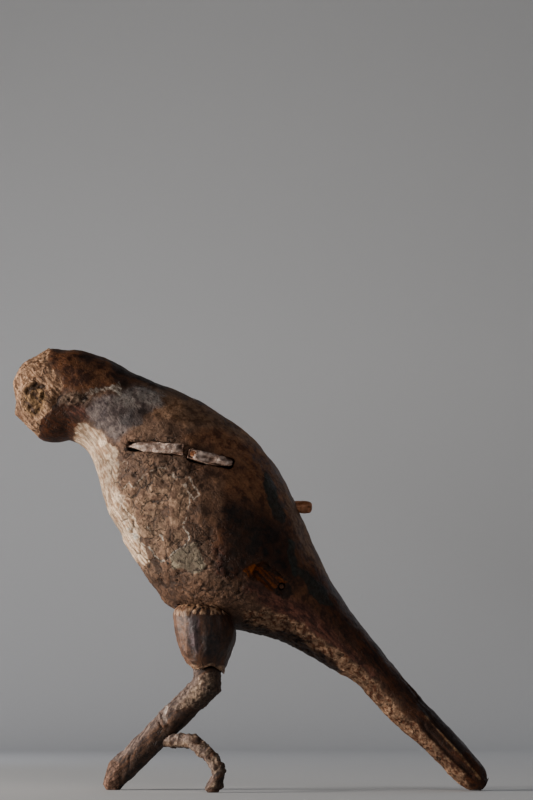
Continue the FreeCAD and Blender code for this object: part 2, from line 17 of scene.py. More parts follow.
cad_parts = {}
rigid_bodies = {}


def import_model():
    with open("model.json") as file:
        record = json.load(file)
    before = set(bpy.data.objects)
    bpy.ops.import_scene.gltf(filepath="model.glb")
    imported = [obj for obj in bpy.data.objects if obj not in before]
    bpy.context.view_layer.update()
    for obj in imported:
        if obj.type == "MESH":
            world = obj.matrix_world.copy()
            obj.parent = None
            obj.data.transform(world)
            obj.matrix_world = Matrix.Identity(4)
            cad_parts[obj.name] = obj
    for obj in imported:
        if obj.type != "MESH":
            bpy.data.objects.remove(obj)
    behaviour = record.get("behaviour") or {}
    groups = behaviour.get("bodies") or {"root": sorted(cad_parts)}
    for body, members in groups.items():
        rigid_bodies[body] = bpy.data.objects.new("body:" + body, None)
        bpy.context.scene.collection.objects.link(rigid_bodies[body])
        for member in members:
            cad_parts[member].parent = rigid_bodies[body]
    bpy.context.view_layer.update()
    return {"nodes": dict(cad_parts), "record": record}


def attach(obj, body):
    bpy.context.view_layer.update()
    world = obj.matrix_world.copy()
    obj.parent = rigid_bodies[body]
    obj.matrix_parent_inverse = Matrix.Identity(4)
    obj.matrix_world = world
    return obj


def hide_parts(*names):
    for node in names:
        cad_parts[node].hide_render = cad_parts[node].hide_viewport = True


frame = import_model()

# %% [markdown]
# ## A mesh that can be sculpted
#
# A CAD mesh has long thin triangles, so there is nothing between its corners to push. A voxel remesh gives
# it an even skin of small squares, like clay. Booleans or a subdivision surface could add points too, but
# they would keep the uneven pattern.


# %% Copy a CAD piece and give it an even skin
MM = 0.001


def clay(node, name, voxel_mm):
    """A copy of a CAD node with its doubles merged and an even skin of small faces."""
    mesh = frame["nodes"][node].data.copy()
    mesh.materials.clear()
    bm = bmesh.new()
    bm.from_mesh(mesh)
    bmesh.ops.remove_doubles(bm, verts=bm.verts, dist=0.00001)
    bm.to_mesh(mesh)
    bm.free()
    piece = bpy.data.objects.new(name, mesh)
    bpy.context.scene.collection.objects.link(piece)
    skin = piece.modifiers.new("even skin", "REMESH")
    skin.mode = "VOXEL"
    skin.voxel_size = voxel_mm * MM
    skin.use_smooth_shade = True
    graph = bpy.context.evaluated_depsgraph_get()
    piece.data = bpy.data.meshes.new_from_object(piece.evaluated_get(graph))
    piece.modifiers.clear()
    print(name, len(piece.data.polygons), "faces")
    return piece


# %% [markdown]
# ## Reading and moving the skin
#
# Sculpting by code is a height for each point, along its own normal. The points are read into one array in
# millimetres, the heights are worked out together, and the points are written back.


# %% Points, normals and heights
def points_of(piece):
    """The piece's points in millimetres."""
    flat = np.empty(len(piece.data.vertices) * 3, dtype=np.float32)
    piece.data.vertices.foreach_get("co", flat)
    return flat.reshape(-1, 3).astype(float) * 1000


def normals_of(piece):
    """The direction that the skin faces at each point."""
    flat = np.empty(len(piece.data.vertices) * 3, dtype=np.float32)
    piece.data.vertices.foreach_get("normal", flat)
    return flat.reshape(-1, 3).astype(float)


def place_points(piece, points):
    """Write points in millimetres back to the piece."""
    piece.data.vertices.foreach_set("co", (points * MM).astype(np.float32).ravel())


def raise_skin(piece, heights):
    """Move each point along its normal by its height in millimetres, and never below the floor."""
    raised = points_of(piece) + normals_of(piece) * heights[:, None]
    raised[:, 2] = np.maximum(raised[:, 2], 0.0)
    place_points(piece, raised)
    piece.data.update()


def keep(piece, name, values):
    """Store one number for each point, for the material to read."""
    layer = piece.data.attributes.new(name, "FLOAT", "POINT")
    layer.data.foreach_set("value", values.astype(np.float32))


# %% [markdown]
# ## Brushes
#
# Every mark on the bird is one of a few kinds: rough grain, flat knife facets, a net of cracks, a patch
# with an outline, or a line. Each brush gives a number for every point. The noise functions always give the
# same result for the same place, so the sculpture is the same on each run.


# %% The brushes
def soft_step(values, low, high):
    """0 below low, 1 above high, and a smooth rise between them."""
    t = np.clip((values - low) / (high - low), 0, 1)
    return t * t * (3 - 2 * t)


def rough(points, size, seed=0, stretch=(1, 1, 1)):
    """Smooth noise from -1 to 1 whose lumps are about size millimetres wide."""
    scaled = points / (size * np.array(stretch)) + seed * 7.31
    return np.array([noise.noise(Vector(p)) for p in scaled])


def cells(points, size, seed=0):
    """Distance in millimetres to the nearest and to the second nearest of scattered seeds."""
    scaled = points / size + seed * 3.17
    found = np.array([noise.voronoi(Vector(p))[0][:2] for p in scaled])
    return found[:, 0] * size, found[:, 1] * size


def knife(points, size, depth, seed=0):
    """Flat cuts of a knife: each takes off a shallow cap around a seed."""
    near, _ = cells(points, size, seed)
    return -np.maximum(0, depth * (1 - (near / (size * 0.55)) ** 2))


def patch(points, outline, side=0, shift=(0, 0), grow=0):
    """Millimetres inside an outline of (x, z) corners drawn on a flank, and below 0 outside it.

    The left flank is side -1, the right flank is 1, and 0 is both."""
    x, z = points[:, 0] - shift[0], points[:, 2] - shift[1]
    nearest, within = np.full(len(x), 1e9), np.zeros(len(x), bool)
    for (ax, az), (bx, bz) in zip(outline, outline[1:] + outline[:1]):
        dx, dz = bx - ax, bz - az
        t = np.clip(((x - ax) * dx + (z - az) * dz) / (dx * dx + dz * dz), 0, 1)
        nearest = np.minimum(nearest, np.hypot(x - ax - t * dx, z - az - t * dz))
        if dz:
            within ^= ((az > z) != (bz > z)) & (x < ax + (z - az) * dx / dz)
    signed = np.where(within, nearest, -nearest) + grow
    return np.minimum(signed, points[:, 1] * side + 5) if side else signed


def from_line(points, line):
    """Distance in millimetres from a line through (x, y, z) places."""
    best = np.full(len(points), 1e9)
    for a, b in zip(np.array(line[:-1], float), np.array(line[1:], float)):
        t = np.clip((points - a) @ (b - a) / ((b - a) @ (b - a)), 0, 1)
        best = np.minimum(best, np.linalg.norm(points - a - t[:, None] * (b - a), axis=1))
    return best


def lines(points, drawn):
    """Distance in millimetres from the nearest of several lines."""
    return np.minimum.reduce([from_line(points, line) for line in drawn])


def fade(distance, width):
    """1 on a line or a place, and almost nothing at twice the width from it."""
    return np.exp(-(distance / width) ** 2)


ten_square = [(0, 0), (10, 0), (10, 10), (0, 10)]
print("the middle of a 10 mm square lies", patch(np.array([[5.0, 0, 5.0]]), ten_square)[0], "mm inside it")


# %% [markdown]
# ## Coats of paint
#
# A material here is a stack of thin coats. Each coat has two colours that mottle into each other, and a
# mask that says where it survives. The mask is the distance inside its outline, stored on the points, so it
# follows the sculpture. Noise eats into its rim, because old paint ends in a ragged edge.


# %% Colour and node helpers
def paint(code):
    """An sRGB hex colour as the linear colour that the shader wants."""
    parts = [int(code[i:i + 2], 16) / 255 for i in (1, 3, 5)]
    return tuple(c / 12.92 if c < 0.04045 else ((c + 0.055) / 1.055) ** 2.4 for c in parts) + (1.0,)


print("the hex grey #808080 is", round(paint("#808080")[0], 3), "in linear light")


def add(tree, kind, settings=None, inputs=None, stops=()):
    """A node with its settings, and its inputs given as values or as the sockets that feed them.

    Stops are the places and hex colours of a colour ramp."""
    node = tree.nodes.new("ShaderNode" + kind)
    for name, value in (settings or {}).items():
        setattr(node, name, value)
    for (place, code), stop in zip(stops, node.color_ramp.elements if stops else ()):
        stop.position, stop.color = place, paint(code)
    for key, value in (inputs or {}).items():
        by_name = (s for s in node.inputs if s.name == key and s.enabled)
        socket = node.inputs[key] if isinstance(key, int) else next(by_name)
        if isinstance(value, bpy.types.NodeSocket):
            tree.links.new(value, socket)
        else:
            socket.default_value = value
    return node


# Sizes in millimetres. The grit of real chalk ground is finer than 1.6, and is drawn that coarse to show.
NOISES = {"broad": 26, "middle": 7, "fine": 3.0, "grit": 1.6}
SWIRL, PLATE, STREAK = 6, 10, 2.6


def start_material(name, grain=(1, 1, 1), lean=0):
    """A new material's tree, with noise in four sizes, bent wrinkles, and a streak along the grain.

    Lean turns the grain by degrees about the y axis, and grain draws it out where a number is small."""
    material = bpy.data.materials.new(name)
    material.use_nodes = True
    tree = material.node_tree
    tree.nodes.clear()
    place = add(tree, "TexCoord").outputs["Object"]
    kit = {"tree": tree, "material": material}
    for label, size_mm in NOISES.items():
        settings = {"Vector": place, "Scale": 1000 / size_mm, "Detail": 5.0, "Roughness": 0.62}
        kit[label] = add(tree, "TexNoise", None, settings).outputs[0]
    swirl = add(tree, "TexNoise", None, {"Vector": place, "Scale": 1000 / SWIRL, "Detail": 3.0}).outputs[1]
    bent = add(tree, "VectorMath", {"operation": "MULTIPLY_ADD"},
               {0: swirl, 1: (16 * MM,) * 3, 2: place}).outputs[0]
    edge = add(tree, "TexVoronoi", {"feature": "DISTANCE_TO_EDGE"},
               {"Vector": bent, "Scale": 1000 / PLATE}).outputs[0]
    crack = add(tree, "MapRange", None,
                {"Value": edge, "From Max": 0.08, "To Min": 1.0, "To Max": 0.0}).outputs[0]
    here = add(tree, "MapRange", None,
               {"Value": kit["middle"], "From Min": 0.45, "From Max": 0.53}).outputs[0]
    kit["wrinkle"] = add(tree, "Math", {"operation": "MULTIPLY"}, {0: crack, 1: here}).outputs[0]
    turned = add(tree, "Mapping", None, {"Vector": place, "Rotation": (0, math.radians(lean), 0)})
    drawn_out = add(tree, "Mapping", None, {"Vector": turned.outputs[0], "Scale": grain})
    kit["streak"] = add(tree, "TexNoise", None, {"Vector": drawn_out.outputs[0], "Scale": 1000 / STREAK,
                                                 "Detail": 4.0, "Roughness": 0.65}).outputs[0]
    return kit


def lay(kit, under, over, mask, ragged, soft, strength, by="middle"):
    """Lay a coat over another where its mask, eaten by ragged millimetres of noise, is above zero.

    The noise stays within about 0.2 of 0.5. Times five, it moves the rim in and out by about ragged."""
    tree = kit["tree"]
    stored = add(tree, "Attribute", {"attribute_name": mask}).outputs["Fac"]
    eater = add(tree, "Math", {"operation": "MULTIPLY_ADD"}, {0: kit[by], 1: ragged * 5, 2: -ragged * 2.5})
    eaten = add(tree, "Math", {"operation": "ADD"}, {0: stored, 1: eater.outputs[0]}).outputs[0]
    where = add(tree, "MapRange", {"interpolation_type": "SMOOTHSTEP"},
                {"Value": eaten, "From Min": -soft, "From Max": soft, "To Max": strength}).outputs[0]
    return add(tree, "Mix", {"data_type": "RGBA"}, {0: where, 6: under, 7: over}).outputs[2]


def lay_coats(kit, colour, coats):
    """Lay a table of coats, the lowest first.

    A row is a mask, a dark and a light tone, the noise that mottles them, how ragged and how soft the rim
    is in millimetres, and how much the coat hides."""
    for mask, dark, light, by, ragged, soft, strength in coats:
        over = add(kit["tree"], "ValToRGB", None, {"Fac": kit[by]}, ((0.41, dark), (0.59, light)))
        colour = lay(kit, colour, over.outputs[0], mask, ragged, soft, strength)
    return colour


def finish_material(kit, colour, roughness, grit_mm=0.3, streak_mm=0.0, gloss=0.35, creases=0.3):
    """Wear the colour with streaks and spots, and join it, the roughness and fine relief to the shader.

    Creases is how deep the dark wrinkles are, as a number or a socket."""
    tree = kit["tree"]
    grain = add(tree, "Math", {"operation": "ADD"}, {0: kit["grit"], 1: kit["streak"]}).outputs[0]
    worn = add(tree, "MapRange", None, {"Value": grain, "From Min": 0.7, "From Max": 1.3,
                                        "To Min": 0.6, "To Max": 1.3}).outputs[0]
    dark_spots, pale_spots = ("middle", 0.43, 0.46, 0.7, 1.0), ("fine", 0.58, 0.61, 1.0, 1.2)
    for size, low, high, dark, light in (dark_spots, pale_spots):
        spots = add(tree, "MapRange", None, {"Value": kit[size], "From Min": low, "From Max": high,
                                             "To Min": dark, "To Max": light}).outputs[0]
        worn = add(tree, "Math", {"operation": "MULTIPLY"}, {0: worn, 1: spots}).outputs[0]
    colour = add(tree, "HueSaturation", None,
                 {"Color": colour, "Value": worn, "Saturation": 1.15}).outputs[0]
    depth = add(tree, "Math", {"operation": "MULTIPLY"}, {0: kit["wrinkle"], 1: creases}).outputs[0]
    dark = add(tree, "HueSaturation", None, {"Color": colour, "Value": 0.3}).outputs[0]
    colour = add(tree, "Mix", {"data_type": "RGBA"}, {0: depth, 6: colour, 7: dark}).outputs[2]
    relief = add(tree, "Bump", {"invert": True}, {"Height": depth, "Distance": 1.0 * MM, "Strength": 1.0})
    share = add(tree, "Math", {"operation": "MULTIPLY_ADD"}, {0: creases, 1: 1.3, 2: 0.4}).outputs[0]
    coarse = add(tree, "Math", {"operation": "MULTIPLY"}, {0: kit["fine"], 1: share}).outputs[0]
    relief = add(tree, "Bump", None, {"Height": coarse, "Distance": grit_mm * MM, "Strength": 1.0,
                                      "Normal": relief.outputs[0]})
    relief = add(tree, "Bump", None, {"Height": kit["grit"], "Distance": grit_mm * 0.5 * MM,
                                      "Strength": 1.0, "Normal": relief.outputs[0]})
    if streak_mm:
        relief = add(tree, "Bump", None, {"Height": kit["streak"], "Distance": streak_mm * MM,
                                          "Strength": 1.0, "Normal": relief.outputs[0]})
    shader = add(tree, "BsdfPrincipled", None, {"Base Color": colour, "Roughness": roughness,
                                                "Specular IOR Level": gloss, "Normal": relief.outputs[0]})
    add(tree, "OutputMaterial", None, {"Surface": shader.outputs[0]})
    return kit["material"]


def settle(piece, node, material):
    """Give a finished piece its material and its body, and hide the CAD node that it stands for."""
    piece.data.materials.append(material)
    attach(piece, "root")
    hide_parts(node)
    print(piece.name, "stands for", node, "in", material.name)


# %% [markdown]
# ## The body's clay
#
# The points are read once. A second set, which wanders by a few millimetres, is used for every outline, so
# that no drawn edge is ever smooth.

# %% The clay body
# A skin of 1.33 mm keeps the body just under 200,000 triangles.
body = clay("carved_body", "bird_body", voxel_mm=1.33)
skin = points_of(body)
outward = normals_of(body)
lumps = {size: rough(skin, size, seed=size) for size in (2.6, 5, 12, 34)}
wander = skin + 3.2 * np.stack([lumps[12], rough(skin, 13, 22), rough(skin, 13, 23)], axis=1)
still = np.zeros(len(skin))
wander = wander + 1.5 * np.stack([rough(skin, 3.6, 24), still, rough(skin, 3.9, 25)], axis=1)


def flanks(outline, shift=(0, 0), grow=0):
    """Millimetres inside an outline on the left flank, or on the right, where it is moved and grown."""
    return np.maximum(patch(wander, outline, -1), patch(wander, outline, 1, shift, grow))



# %% [markdown]
# ### The torn face
#
# The bill was a separate block, glued on across the grain. When it was knocked off it took the ground and
# some wood with it, so the face is a rough, pale, splintery scar with a deep bite in it.

# %% Where the face is bare
torn = [(-195, 350), (-156, 345), (-157, 332), (-156, 324), (-150, 318), (-145, 313), (-144, 305),
        (-147, 299), (-149, 293), (-152, 287), (-158, 281), (-161, 274), (-168, 262), (-195, 255)]
bite_shape = [(-176, 303), (-168, 307), (-160, 304), (-156, 297), (-158, 288), (-164, 282), (-170, 284),
              (-177, 292)]
deep_shape = [(-174, 304), (-166, 307), (-157, 306), (-158, 303), (-166, 301), (-172, 298)]
bare = flanks(torn, (-2, 3))
bite = flanks(bite_shape, (1, -3), -1.5)
deep = flanks(deep_shape, (1, -3))
up_the_head = skin @ np.array([[0.94, 0, 0.34], [0, 1, 0], [-0.34, 0, 0.94]])
fibres = rough(up_the_head, 2.4, 3, (0.8, 0.8, 5.0))
torn_ridges = 1 - np.abs(rough(up_the_head, 5.2, 4, (1.0, 1.0, 2.6))) * 2.6
shelves = np.floor(rough(up_the_head, 11, 30, (1, 1, 1.6)) * 5 + 0.35 * lumps[2.6]) / 5
on_face = soft_step(bare, -0.5, 1.0)
face_relief = on_face * (-0.2 + 0.5 * fibres + 0.12 * torn_ridges + 1.9 * shelves)
face_relief = face_relief - 1.5 * soft_step(bite, -1, 2) * (1 - 1.2 * fibres)
face_relief = face_relief - 2.6 * soft_step(deep, -0.8, 1.2)
brow = from_line(skin, [(-156, -17, 336), (-157, 17, 336)])
nick = lines(wander, [[(-145, y, 299), (-148, y, 293), (-151, y, 287)] for y in (-31, 31)])
face_relief = face_relief + 2.6 * fade(brow, 8) - 1.8 * fade(nick, 1.5)
print("bare points on the face:", int((bare > 0).sum()))

# %% [markdown]
# ### Losses in the ground
#
# Each loss is an outline, lower than what is left of the ground around it. The largest is a shield shape
# behind the breast, where only the coarse lower coat is left. A white line shows all along its broken edge.

# %% Losses in the ground
shield = [(-46, 203), (-48, 194), (-45, 186), (-51, 181), (-57, 180), (-61, 175), (-67, 172), (-72, 176),
          (-79, 182), (-87, 190), (-95, 199), (-98, 208), (-97, 224), (-90, 233), (-78, 236), (-64, 240),
          (-50, 230), (-45, 216)]
island = [(-93, 232), (-89, 240), (-83, 243), (-80, 238), (-82, 230), (-87, 225)]
green_patch = [(-60, 178), (-50, 182), (-44, 184), (-38, 181), (-36, 172), (-31, 165), (-45, 162), (-59, 165)]
chips = [[(-102, 248), (-96, 245), (-95, 239), (-101, 235)],
         [(-50, 233), (-44, 232), (-37, 219), (-41, 214), (-47, 222)],
         [(-90, 206), (-86, 203), (-89, 192), (-95, 198)]]
left_loss = np.maximum(np.minimum(patch(wander, shield, -1), -patch(wander, island, -1)),
                       np.maximum.reduce([patch(wander, chip, -1) for chip in chips]))
right_loss = np.maximum.reduce([
    patch(wander, shield, 1, (22, 8), -3), patch(wander, green_patch, 1, (-22, 66), 2),
    patch(wander, green_patch, 1, (40, -14)), patch(wander, chips[1], 1, (-50, 30), 1),
])
loss = np.maximum(left_loss, right_loss)
green = np.maximum(patch(wander, green_patch, -1), patch(wander, island, 1, (30, -50), 3))
loss_relief = -0.62 * soft_step(loss, -0.35, 0.45)
print("loss points:", int((loss > 0).sum()))

# %% [markdown]
# ### Cracks, scratches and crumbs
#
# The ground cracks in a net, because the wood under it shrinks, and its plates lift in low steps. Long
# cracks follow the grain of the wood. The net comes from cells: a point that is as near to one seed as to
# the next lies on a crack.

# %% Cracks and scratches
crumbly_shape = [(-118, 262), (-60, 268), (-34, 250), (-34, 214), (-22, 176), (0, 158), (4, 140), (-40, 128),
                 (-75, 138), (-100, 190)]
crumbly = soft_step(flanks(crumbly_shape, (4, 6)), -4, 6)
near, second = cells(skin + lumps[5][:, None] * 2.5 + lumps[12][:, None] * 5.0, 17, 1)
net = np.where(lumps[34] > -0.25, second - near, 9.0) + 0.5 * np.maximum(0, lumps[5])
crumbs = 1 - np.abs(rough(skin, 4.0, 41, (1.3, 1, 1))) * 3
flakes = np.floor(rough(skin, 15, 51, (1, 1, 1.5)) * 5 + 0.5 * lumps[2.6] + 0.5 * lumps[5])
long_cracks = lines(wander, [
    [(-32, -43, 157), (-35, -39, 147), (-33, -38, 138)],
    [(-23, -50, 176), (-29, -48, 167), (-39, -43, 158), (-42, -37, 150)], [(-13, -50, 175), (-23, -50, 173)],
    [(-95, -38, 268), (-97, -37, 261), (-93, -40, 255)], [(-62, -38, 166), (-66, -34, 156), (-60, -34, 148)],
    [(-55, -40, 160), (-48, -42, 152), (-52, -38, 142)], [(-12, -44, 158), (-18, -42, 148), (-16, -38, 138)],
    [(-74, -44, 216), (-66, -47, 206), (-68, -46, 196)], [(-60, 45, 190), (-52, 46, 176), (-49, 44, 160)],
    [(-90, 40, 240), (-80, 44, 226), (-78, 44, 214)], [(-30, 48, 240), (-22, 49, 222), (-25, 49, 206)],
    [(5, -44, 168), (6, -41, 166)],
])
flat = skin * np.array([1, 0, 1])
scar_edge = from_line(flat, [(4, 0, 168), (10, 0, 165), (20, 0, 160), (31, 0, 155)])
long_cracks = np.minimum(long_cracks, scar_edge)
scratches = lines(skin + 0.5 * lumps[5][:, None], [
    [(-62, -50, 238), (-50, -52, 225), (-40, -53, 211)], [(-57, -50, 239), (-47, -52, 229), (-38, -53, 221)],
    [(-69, -48, 236), (-58, -51, 222)], [(-75, -46, 231), (-66, -49, 219)],
    [(-84, -42, 232), (-72, -46, 213)], [(-20, -36, 266), (-14, -37, 258)], [(-4, -37, 249), (1, -37, 243)],
    [(-2, -42, 231), (4, -44, 219)], [(-60, 46, 226), (-38, 50, 204)], [(-70, 44, 236), (-52, 48, 214)],
])
crack_relief = -0.9 * (1 - soft_step(long_cracks, 0.3, 1.6)) - 0.6 * (1 - soft_step(scratches, 0.2, 1.3))
crumb_relief = crumbly * (0.05 * crumbs + 0.42 * flakes + 0.1 * lumps[2.6])
crumb_relief = crumb_relief - crumbly * 0.6 * (1 - soft_step(net, 0.3, 1.4)) + (1 - crumbly) * 0.07 * flakes
print("points on a crack or a scratch:", int((np.minimum(long_cracks, scratches) < 1).sum()))

# %% [markdown]
# ### The crust, the feathers and the cord by the eye
#
# Ground was laid thick along the underside of the tail, and it has crumbled into knobs. Between the tail's
# feathers runs a fine ridge with a furrow on each side. By the eye the ground was built up into a lumpy
# cord.

# %% The crust under the tail
band = [(-6, 134), (12, 132), (27, 129), (37, 123), (48, 117), (58, 111), (67, 106), (76, 97), (84, 92),
        (95, 81), (110, 63), (124, 51), (137, 36), (151, 23), (160, 12), (168, -4), (140, -4), (80, 45),
        (40, 85), (-5, 108)]
under_tail = patch(wander, band)
knobs = 1 - np.abs(rough(skin, 3.4, 9, (1, 1, 1))) * 2.6
down_the_tail = skin @ np.array([[0.5, 0, 0.87], [0, 1, 0], [-0.87, 0, 0.5]])
steps = np.floor(rough(down_the_tail, 6, 20, (1, 1, 2)) * 4)
chipped = rough(down_the_tail, 2.6, 19, (1, 1, 2.2)) + 0.8 * steps / 4
thinning = 1 - 0.35 * soft_step(skin[:, 0], 20, 150)
crust_relief = soft_step(under_tail, -1.5, 3) * (0.62 * chipped + 0.35 * knobs + 0.1 * lumps[5]) * thinning
vent = soft_step(-outward[:, 2], 0.1, 0.7) * fade(skin[:, 0] - 34, 26)
tail_end = from_line(skin, [(184, -8, 8), (184, 8, 8)])
crust_relief = crust_relief - 3.4 * vent - 3.0 * fade(tail_end, 6)
print("points in the crust:", int((under_tail > 0).sum()))

# %% The feathers of the tail
feather_lines, furrow_lines, edge_lines = [], [], []
for y in (-1, 1):
    feather_lines.append([(133, 12.5 * y, 56), (147, 12.5 * y, 40), (157, 12 * y, 28), (173, 10.5 * y, 9)])
    furrow_lines.append([(130, 13.5 * y, 49), (137, 13 * y, 40), (144, 13 * y, 33), (154, 12.5 * y, 23),
                         (167, 12 * y, 11)])
    edge_lines.append([(128, 11 * y, 68), (140, 10.5 * y, 53), (154, 10 * y, 36), (168, 9.5 * y, 18)])
feather = 1.1 * (1 - soft_step(lines(skin, feather_lines), 0.3, 1.7))
feather = feather - 1.7 * (1 - soft_step(lines(skin, furrow_lines), 0.5, 2.4))
feather = feather - 0.9 * (1 - soft_step(lines(skin, edge_lines), 0.6, 3.0))
print("the feather's ridge stands", round(float(feather.max()), 2), "mm high")

# %% The cord by the eye
cord_shape = [(-147, 298), (-138, 300), (-124, 299), (-120, 293), (-126, 289), (-140, 288), (-147, 291)]
cord = soft_step(flanks(cord_shape), -1.2, 2.0)
cord_relief = cord * (0.7 + 0.8 * knobs + 0.5 * lumps[2.6])
ring = lines(skin, [[(-133.5, y, 293.6), (-133.4, y, 293.6)] for y in (-31.5, 31.5)])
cord_relief = cord_relief + 0.9 * fade(ring - 3.0, 0.8) - 1.3 * fade(ring, 1.6)
print("points in the cord:", int((cord > 0.5).sum()))

# %% [markdown]
# ### Knife facets and the split scar
#
# Broad shallow cuts show on the crown and along the back. Where the wing's tip was nailed, a long chip has
# split off, so bare wood shows there with its grain in sharp strips.

# %% Facets and the scar
scar_shape = [(-3, 163), (4, 167), (16, 163), (26, 158), (31, 151), (26, 146), (12, 151), (2, 157)]
scar = flanks(scar_shape)
above = soft_step(outward[:, 2], -0.3, 0.3)
facets = knife(skin, 15, 0.6, 2) * above * soft_step(skin[:, 0], -170, -150)
worn_back = knife(skin, 30, 0.8, 5) * (0.3 + 0.5 * above)
split = rough(skin + 1.3 * lumps[12][:, None], 2.4, 6, (3.4, 3.4, 0.7))
scar_relief = soft_step(scar, -0.5, 1.0) * (0.9 * split - 1.0)
long_grain = rough(skin @ np.array([[0.71, 0, 0.71], [0, 1, 0], [-0.71, 0, 0.71]]), 2.6, 8, (1, 1, 9))
fine_relief = 0.1 * lumps[2.6] + 0.16 * lumps[5] + crumb_relief + 0.14 * long_grain * above
relief = (
    face_relief + loss_relief + crack_relief + crust_relief + feather + cord_relief + facets + worn_back
    + scar_relief + fine_relief + 0.4 * lumps[12] + 1.0 * above * soft_step(-skin[:, 0], 90, 110)
)
raise_skin(body, relief)
print("relief from", round(float(relief.min()), 2), "to", round(float(relief.max()), 2), "mm")

# %% [markdown]
# ## The body's coats
#
# From below: a grey-tan ground, warm and dark brown oil paint, a violet and a slate grey, near-black grime
# on the rump, black-green patches on the back, and a cream breast. Each outline below is one coat's limits.
# The right side was painted the same way, so it takes the same outlines, a few of them moved. Four coats
# run over the back or round the belly, so their outlines cut through both sides at once.

# %% Outlines of the coats
outlines = {
    "warm": [[(-48, 266), (-24, 276), (0, 268), (16, 246), (20, 222), (8, 212), (-12, 216), (-30, 224),
              (-42, 240)],
             [(-126, 315), (-118, 321), (-104, 315), (-98, 306), (-108, 302), (-124, 305)]],
    "back_tan": [[(-84, 302), (-50, 298), (-18, 286), (4, 270), (16, 252), (0, 262), (-22, 274), (-46, 272),
                  (-70, 280), (-84, 290)]],
    "polish": [[(40, 160), (62, 124), (92, 90), (122, 54), (150, 22), (172, -6), (200, 0), (190, 20),
                (120, 115), (70, 180)],
               [(48, 166), (80, 118), (130, 58), (158, 24), (175, -5), (200, 0), (190, 20), (120, 115),
                (70, 180)],
               [(-176, 280), (-164, 278), (-158, 285), (-149, 290), (-139, 289), (-131, 284), (-132, 277),
                (-136, 268), (-152, 256), (-176, 262)]],
    "umber": [[(-158, 352), (-110, 352), (-70, 318), (-96, 304), (-110, 302), (-126, 300), (-146, 301),
               (-146, 314), (-157, 326)],
              [(-60, 312), (-20, 296), (30, 250), (70, 190), (190, 20), (190, -10), (166, -5), (150, 20),
               (124, 50), (96, 80), (76, 98), (48, 118), (14, 134), (-2, 146), (-16, 158), (-28, 174),
               (-32, 196), (-30, 214), (-12, 226), (2, 246), (-14, 270), (-44, 288)],
              [(-170, 285), (-158, 286), (-148, 291), (-138, 290), (-128, 284), (-126, 279), (-134, 270),
               (-152, 258), (-170, 262)]],
    "violet": [[(2, 157), (14, 151), (30, 146), (44, 138), (60, 124), (80, 103), (98, 84), (92, 80), (76, 97),
                (58, 111), (37, 123), (20, 131), (6, 138), (-6, 146)],
               [(-140, 289), (-124, 290), (-110, 296), (-100, 300), (-94, 290), (-104, 278), (-112, 272),
                (-124, 279), (-136, 283)],
               [(-26, 176), (-8, 178), (0, 164), (-12, 156), (-24, 160)]],
    "slate": [[(-126, 290), (-112, 296), (-100, 302), (-90, 307), (-76, 305), (-66, 297), (-66, 290),
               (-76, 284), (-86, 276), (-92, 268), (-101, 260), (-110, 264), (-115, 271), (-123, 278)]],
    "blue": [[(-101, 284), (-90, 288), (-78, 290), (-73, 284), (-82, 277), (-93, 271), (-100, 277)],
             [(126, 68), (134, 56), (147, 44), (155, 32), (161, 26), (164, 29), (156, 42), (146, 56),
              (134, 68)]],
    "haze": [[(-106, 292), (-97, 300), (-88, 305), (-76, 306), (-64, 300), (-68, 294), (-82, 292),
              (-94, 286)]],
    "grime": [[(-24, 221), (-8, 214), (9, 208), (24, 198), (33, 184), (38, 166), (34, 152), (24, 157),
               (6, 167), (-2, 161), (-14, 157), (-22, 162), (-19, 174), (-16, 182), (-22, 192), (-28, 204)]],
    # Painted shadow along the lower edge of the tail, by the vent.
    "shade": [[(-16, 128), (8, 123), (36, 112), (58, 99), (74, 84), (66, 76), (46, 88), (0, 100),
               (-22, 116)]],
    "soot_and_nape_shade": [[(-134, 331), (-126, 333), (-119, 330), (-126, 326)],
             [(-108, 318), (-98, 315), (-92, 306), (-97, 303), (-105, 309)],
             # Painted shade: a dark line along the top of the neck. The other shapes are black patches of
             # soot.
             [(-112, 330), (-90, 322), (-62, 309), (-64, 304), (-86, 312), (-104, 318)],
             [(-156, 318), (-150, 312), (-150, 305), (-154, 308)],
             [(-149, 300), (-144, 298), (-148, 286), (-153, 287)]],
    "black_green": [[(12, 240), (17, 234), (22, 221), (27, 206), (25, 197), (19, 203), (14, 215), (11, 228)],
                    [(28, 188), (34, 184), (37, 172), (39, 161), (33, 158), (30, 172)],
                    [(38, 168), (48, 160), (60, 148), (65, 138), (56, 138), (46, 147), (38, 159)]],
    "dull": [[(-52, 254), (-30, 258), (-18, 232), (-22, 200), (-28, 180), (-46, 184), (-44, 214)],
             [(-84, 160), (-62, 158), (-40, 158), (-16, 156), (4, 144), (16, 128), (-30, 118), (-84, 130)]],
    "scar_dark": [[(18, 152), (24, 155), (30, 154), (34, 148), (29, 143), (21, 145)]],
    "strip": [[(20, 240), (32, 222), (48, 196), (76, 158), (72, 150), (50, 168), (40, 182), (33, 200),
               (26, 218)]],
    "cream": [[(-136, 268), (-133, 274), (-131, 279), (-124, 277), (-115, 270), (-111, 263), (-102, 258),
               (-102, 241), (-98, 226), (-93, 215), (-89, 203), (-83, 187), (-77, 170), (-112, 168),
               (-140, 240)]],
    "fringe": [[(-126, 300), (-116, 303), (-108, 304), (-101, 307), (-99, 303), (-101, 298), (-108, 301),
                (-117, 299), (-124, 297)]],
}
moved = {"slate": (2, -3), "grime": (6, 4), "black_green": (4, 6), "violet": (3, -2), "warm": (-4, 2),
         "fringe": (-2, 2)}
both_sides = ("umber", "cream", "blue", "polish")
DEEPEST = 15  # millimetres: a mask says no more than this
for name, shapes in outlines.items():
    drawn = [patch(wander, shape) if name in both_sides else flanks(shape, moved.get(name, (0, 0)))
             for shape in shapes]
    keep(body, name, np.clip(np.maximum.reduce(drawn), -DEEPEST, DEEPEST))
print("coats with an outline:", len(outlines))

